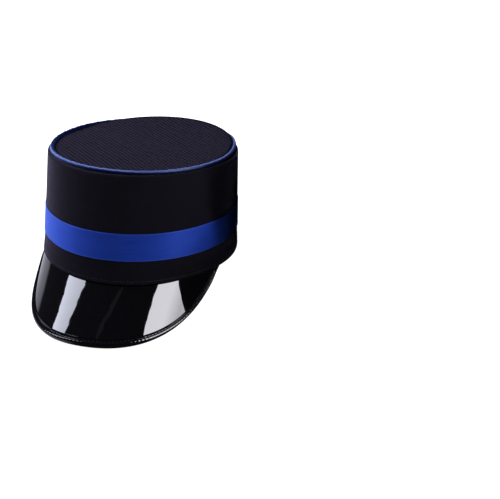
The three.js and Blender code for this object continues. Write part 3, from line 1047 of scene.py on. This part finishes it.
def on_binding(x, y, where):
    """Points on the binding at places across the peak, with the strip narrowed where the peak is short."""
    edge = peak_line(where)[2] - PEAK["nose"]
    room = np.minimum(BINDING["width"], edge - BINDING["root_clearance"]) / BINDING["width"]
    slim = np.clip((1 - abs(where)) / BINDING_END["share"], BINDING_END["slimmest"], 1)
    along = edge + x * np.where(x < 0, room, slim)
    proud = np.maximum(abs(y) - HOLLOW, 0)
    lift = np.sign(y) * (np.minimum(abs(y), HOLLOW) + proud * slim)
    return peak_point(where, along, lift - 0.5 * STACK + 0 * along)


def run_along(line):
    """Lengths run along a line of points, from zero up."""
    return np.concatenate(([0], np.cumsum(np.linalg.norm(np.diff(line, axis=0), axis=1))))


def peak_binding():
    x, y = binding_outline().T
    where = np.linspace(-1, 1, BINDING_PLACES)[:, None]
    stitch_line = on_binding(np.array(-BINDING["stitch_line"]), np.array(HOLLOW), SEWN_PLACES)
    run = np.interp(where, SEWN_PLACES, run_along(stitch_line))
    wave = np.cos(2 * np.pi * (run / STITCH["pitch"] - PUCKER["start"]))
    beside = np.exp(-(((x - PUCKER["middle"]) / PUCKER["reach"]) ** 2)) * (abs(y) > HOLLOW)
    pucker = PUCKER["height"] * (0.5 + 0.5 * wave) * beside
    return swept("binding_strip", stand(on_binding(x, y + np.sign(y) * pucker, where)), ring=False)


dress(peak_binding(), binding_patent, "peak_binding")

# %% [markdown]
# Sewing thread is two or three twisted plies, so a wave pattern across the thread gives its twist, in
# colour and in bump. The thread of the binding is waxed black and dull, the others are plain black and
# plain blue.

# %% Finish: threads
TWIST = {"pitch": 0.25 * MM, "turn": math.radians(35), "depth": 0.04 * MM, "dark": 0.45}


def thread_finish(name, colour, roughness, gloss):
    finish, tree, shader = new_finish(name)
    twist = threads(tree, surface_metres(tree, turn=TWIST["turn"]), TWIST["pitch"])
    dark = tuple(TWIST["dark"] * channel for channel in colour)
    set_shader(
        tree,
        shader,
        base_color=ramp(tree, twist, dark, colour),
        roughness=spread(tree, twist, roughness - 0.05, roughness + 0.1),
        specular_ior_level=gloss,
    )
    bumped(tree, shader, twist, TWIST["depth"])
    return finish


black_thread = thread_finish("black_thread", (0.02, 0.02, 0.022), 0.45, 0.5)
waxed_thread = thread_finish("waxed_thread", (0.006, 0.006, 0.007), 0.3, 0.12)
blue_thread = thread_finish("blue_thread", (0.02, 0.06, 0.40), 0.45, 0.5)
print("threads:", black_thread.name, waxed_thread.name, blue_thread.name)

# %% [markdown]
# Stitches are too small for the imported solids, but they catch the eye up close. Each one is a short
# round thread that rises out of its hole and dives into the next. Copies of one modelled stitch could be
# set along a curve, but every stitch made here samples a line of points and normals, so it bends with
# the surface it lies on, and a whole row is one mesh.

# %% Rows of stitches
STITCH_RINGS, STITCH_SIDES = 7, 6
STITCH_START = 0.1
ARCH = {"rise": 0.9, "sink": 0.55, "end": 0.55}
LIFT_STEP = 0.1 * MM


def stitch_faces(count, length, thread):
    """Faces and UVs of a row of so many stitches."""
    ring, corner = np.mgrid[0 : STITCH_RINGS - 1, 0:STITCH_SIDES]
    after = (corner + 1) % STITCH_SIDES
    quad = np.stack((ring * STITCH_SIDES + corner, ring * STITCH_SIDES + after), axis=-1)
    quad = np.concatenate((quad, quad[..., ::-1] + STITCH_SIDES), axis=-1).reshape(-1, 4)
    size = STITCH_RINGS * STITCH_SIDES
    first = np.arange(STITCH_SIDES)
    last = first[::-1] + size - STITCH_SIDES
    quad_uv = np.stack((quad // STITCH_SIDES, quad % STITCH_SIDES), axis=-1) * length / STITCH_RINGS
    cap_uv = np.stack((first, first), axis=-1) * thread
    faces, uvs = [], []
    for stitch in range(count):
        faces += (quad + stitch * size).tolist()
        faces += [(first + stitch * size).tolist(), (last + stitch * size).tolist()]
        uvs += [quad_uv.reshape(-1, 2), cap_uv, cap_uv]
    return faces, np.concatenate(uvs)


def stitch_row(name, line, normals, pitch, length, thread):
    """Row of stitches along a line: so long, a pitch apart, of a thread of that thickness."""
    run = run_along(line)
    count = int(run[-1] / pitch)
    share = np.linspace(0, 1, STITCH_RINGS)
    at = (np.arange(count)[:, None] + STITCH_START) * pitch + share * length
    place = np.stack([np.interp(at, run, line[:, axis]) for axis in range(3)], axis=-1)
    normal = np.stack([np.interp(at, run, normals[:, axis]) for axis in range(3)], axis=-1)
    side = np.cross(np.gradient(place, axis=1), normal)
    side /= np.linalg.norm(side, axis=-1, keepdims=True)
    arch = np.sin(np.pi * share)
    middle = place + normal * (thread * (ARCH["rise"] * arch - ARCH["sink"]))[:, None]
    radius = 0.5 * thread * (ARCH["end"] + (1 - ARCH["end"]) * arch)
    turn = np.linspace(0, 2 * np.pi, STITCH_SIDES, endpoint=False)
    around = normal[:, :, None] * np.cos(turn)[:, None] + side[:, :, None] * np.sin(turn)[:, None]
    points = middle[:, :, None] + around * radius[:, None, None]
    return new_piece(name, points, *stitch_faces(count, length, thread))


def sewn(name, line_at, stitch):
    """Row of stitches along a line that can be lifted off its surface, which gives the normals."""
    lifted = line_at(LIFT_STEP) - line_at(0)
    normals = lifted / np.linalg.norm(lifted, axis=-1, keepdims=True)
    return stitch_row(name, line_at(0), normals, **stitch)


print("points in a stitch:", STITCH_RINGS * STITCH_SIDES)

# %% [markdown]
# Five rows are sewn: along the binding on both sides of the peak, round the hem through the wall, along
# the lower edge of the sweatband, and across the ribbon's lapped end in blue. The hem's stitches follow
# its fold over the peak and its sag.

# %% Sewing
HEM_STITCH = {"pitch": 2.8 * MM, "length": 2.1 * MM, "thread": 0.35 * MM}
LAP_STITCH = {"pitch": 2.2 * MM, "length": 1.6 * MM, "thread": 0.3 * MM}
LAP_INSET, LAP_POINTS = 1.5 * MM, 60
BAND_STITCH_HEIGHT = 4.0 * MM
ROUND_ANGLES = np.linspace(0, 2 * np.pi, 800)


def sew_binding(name, side):
    def line_at(lift):
        across = np.array(-BINDING["stitch_line"])
        off = np.array(side * (HOLLOW + GROOVE["floor"] + lift))
        return stand(on_binding(across, off, SEWN_PLACES))

    return sewn(name, line_at, STITCH)


def sew_round(name, out, up, side):
    def line_at(lift):
        return stand(crown_point(ROUND_ANGLES, out + side * lift, up))

    return sewn(name, line_at, HEM_STITCH)


def sew_lap(name):
    heights = np.linspace(RIBBON["from"] + LAP_INSET, RIBBON["to"] - LAP_INSET, LAP_POINTS)
    angle = 3 * np.pi + (RIBBON["lap"] - LAP_INSET) / RIM["half_length"]

    def line_at(lift):
        out = (1 + LAP_RISE) * RIBBON["thickness"] + swell(angle, heights) + lift
        return stand(crown_point(angle, out, heights))

    return sewn(name, line_at, LAP_STITCH)


hem_out = hem_relief(ROUND_ANGLES, HEM["groove"]) + swell(ROUND_ANGLES, HEM["groove"])
hem_up = HEM["groove"] - hem_sag(ROUND_ANGLES, 0, HEM["groove"])
band_in = -(WALL["thickness"] + SWEATBAND["gap"] + SWEATBAND["thickness"])
dress(sew_binding("binding_stitches_upper", 1), waxed_thread)
dress(sew_binding("binding_stitches_lower", -1), waxed_thread)
dress(sew_round("hem_stitches", hem_out, hem_up, 1), black_thread)
dress(sew_round("band_stitches", band_in, BAND_STITCH_HEIGHT, -1), black_thread)
dress(sew_lap("lap_stitches"), blue_thread)

# %% [markdown]
# The floor is a plain pale sheet, wide enough to fill the picture. Boxes strong enough to make it white
# would drown the black cloth, so it has a little light of its own. The peak would mirror that light and
# turn grey, so the floor is left out of reflections.

# %% Floor
FLOOR_SIDE = 8.0
FLOOR_GLOW = 1.0
FLOOR_BLOBS = 3.0
FLOOR_DARK, FLOOR_PALE = (0.26, 0.26, 0.27), (0.29, 0.29, 0.29)


def pale_floor():
    finish, tree, shader = new_finish("pale_floor")
    mottle = noise(tree, add_node(tree, "TexCoord").outputs["Object"], FLOOR_BLOBS)
    set_shader(
        tree,
        shader,
        base_color=ramp(tree, mottle, FLOOR_DARK, FLOOR_PALE),
        roughness=0.9,
        specular_ior_level=0.1,
        emission_color=(1, 1, 1, 1),
        emission_strength=FLOOR_GLOW,
    )
    return finish


def stage_panels(name, corners, finish):
    """Object of the studio: four-cornered panels, four corners after another."""
    mesh = bpy.data.meshes.new(name)
    mesh.from_pydata(corners, [], np.arange(len(corners)).reshape(-1, 4).tolist())
    mesh.materials.append(finish)
    panels = bpy.data.objects.new(name, mesh)
    bpy.context.scene.collection.objects.link(panels)
    return panels


half_floor = FLOOR_SIDE / 2
floor_corners = [(x * half_floor, y * half_floor, 0) for x, y in ((-1, -1), (1, -1), (1, 1), (-1, 1))]
floor = stage_panels("floor", floor_corners, pale_floor())
floor.visible_glossy = False
print("floor, m:", FLOOR_SIDE)

# %% [markdown]
# Light comes from soft boxes. The peak is a mirror, so two of them are placed by it: a long box at the
# left and a near card at the right stand where the two bright strips on the peak reflect them, and both
# fade toward one side as the strips do. A slit in the ceiling gives the faint line between them. The
# card is too near to light anything evenly, so it is only mirrored. Three more boxes at the right, the
# left and the back do the opposite: they light the cloth but are kept out of reflections.

# %% Soft boxes
PEAK_MIDDLE = Vector((0.010, -0.095, 0.020))
BOX_DISTANCE = 1.3
COOL_WHITE = (0.97, 0.96, 1.03)


def soft_box(name, azimuth, elevation, size, glow, colour, distance=BOX_DISTANCE, lean=0, shift=(0, 0),
             fade=(1, 1), faded=(0, 1), lights=True, mirrored=True):
    """Rectangular light of a radiance that faces the peak, moved and leaned in its own plane."""
    data = bpy.data.lights.new(name, "AREA")
    data.shape = "RECTANGLE"
    data.size, data.size_y = size
    data.energy = glow * math.pi * size[0] * size[1]
    data.color = colour
    light = bpy.data.objects.new(name, data)
    away = toward(math.radians(azimuth), math.radians(elevation))
    right = away.cross(Vector((0, 0, 1))).normalized()
    above = right.cross(away)
    light.location = PEAK_MIDDLE + away * distance + right * shift[0] + above * shift[1]
    facing = Matrix((-right, above, away)).transposed()
    light.rotation_euler = (facing @ Matrix.Rotation(math.radians(lean), 3, "Z")).to_euler()
    light.visible_camera = False
    light.visible_diffuse = lights
    light.visible_glossy = mirrored
    bpy.context.scene.collection.objects.link(light)
    data.use_nodes = True
    place = add_node(data.node_tree, "NewGeometry").outputs["Parametric"]
    across = add_node(data.node_tree, "SeparateXYZ", {"Vector": place}).outputs["X"]
    strength = ramp(data.node_tree, across, *[(share, share, share) for share in fade], *faded)
    data.node_tree.links.new(strength, data.node_tree.nodes["Emission"].inputs["Strength"])
    print(f"{name}: {data.energy:.1f} W at", [round(side, 2) for side in light.location])


soft_box("left_box", -84, 47, size=(0.254, 0.9), glow=11.5, colour=(0.87, 0.90, 1.06), lean=15.7,
         shift=(0.118, -0.059), fade=(1.0, 0.8))
soft_box("right_card", 86, 42, size=(0.24, 0.24), glow=13.5, colour=COOL_WHITE, distance=0.3, lean=-28,
         shift=(-0.074, -0.063), fade=(1.0, 0.6), faded=(0.35, 0.7), lights=False)
soft_box("right_box", 86, 42, size=(0.30, 1.30), glow=12, colour=COOL_WHITE, lean=11.3,
         shift=(-0.270, -0.100), mirrored=False)
soft_box("side_box", -103, 30, size=(0.6, 0.6), glow=27, colour=(0.92, 0.94, 1.05), mirrored=False)
soft_box("back_box", -158, 60, size=(0.8, 0.5), glow=12, colour=(0.95, 0.97, 1.04), mirrored=False)
soft_box("ceiling_gap", -60, 78, size=(0.05, 0.2), glow=0.09, colour=WHITE, shift=(-0.118, 0.085))

# %% [markdown]
# A flag is a black card that keeps light off one side. It stands close to the cap at the right and
# can't be seen itself, so that side of the band falls into shade and the end of the peak reflects
# black instead of the bright room. It is a row of panels, because it follows the cap round.

# %% Flag
FLAG_FOOT = (
    (0.120, -0.056), (0.118, -0.0075), (0.0935, -0.006), (0.0945, 0.030), (0.085, 0.090), (0.050, 0.135)
)
FLAG_HEIGHTS = (0.076, 0.130, 0.130, 0.130, 0.130)
FELT_DARK, FELT_PALE = (0.024, 0.022, 0.034), (0.036, 0.034, 0.052)
FELT_BLOBS = 400


def black_felt():
    finish, tree, shader = new_finish("black_felt")
    nap = noise(tree, add_node(tree, "TexCoord").outputs["Object"], FELT_BLOBS)
    felt = ramp(tree, nap, FELT_DARK, FELT_PALE)
    set_shader(tree, shader, base_color=felt, roughness=1.0, specular_ior_level=0.0)
    return finish


flag_corners = []
for start, end, top in zip(FLAG_FOOT, FLAG_FOOT[1:], FLAG_HEIGHTS):
    flag_corners += [(*start, 0), (*end, 0), (*end, top), (*start, top)]
flag = stage_panels("flag", flag_corners, black_felt())
flag.visible_camera = False
print("flag panels:", len(flag.data.polygons))

# %% [markdown]
# The surroundings are a dark room with one pale side, low at the left, which the left end of the peak
# mirrors as a grey strip. Two ramps over the direction give it, one by height and one by side. The
# picture is shown with the plain standard transform, so that the floor comes out as white as paper.

# %% Surroundings
ROOM_DARK, ROOM_SIDE = (0.030, 0.029, 0.038), (0.62, 0.62, 0.72)
LOW_BAND, SIDE_BAND = (0.01, 0.09), (0.45, 0.65)

world = bpy.data.worlds.new("studio")
bpy.context.scene.world = world
world.use_nodes = True
room = world.node_tree
direction = add_node(room, "TexCoord").outputs["Generated"]
split = add_node(room, "SeparateXYZ", {"Vector": direction})
low = ramp(room, split.outputs["Z"], WHITE, BLACK, *LOW_BAND)
beside = ramp(room, maths(room, "MULTIPLY", split.outputs["X"], -1.0), BLACK, WHITE, *SIDE_BAND)
room_light = tint(room, maths(room, "MULTIPLY", low, beside), ROOM_DARK, ROOM_SIDE)
room.links.new(room_light, room.nodes["Background"].inputs["Color"])
bpy.context.scene.view_settings.view_transform = "Standard"
print("room from", ROOM_DARK, "to", ROOM_SIDE)
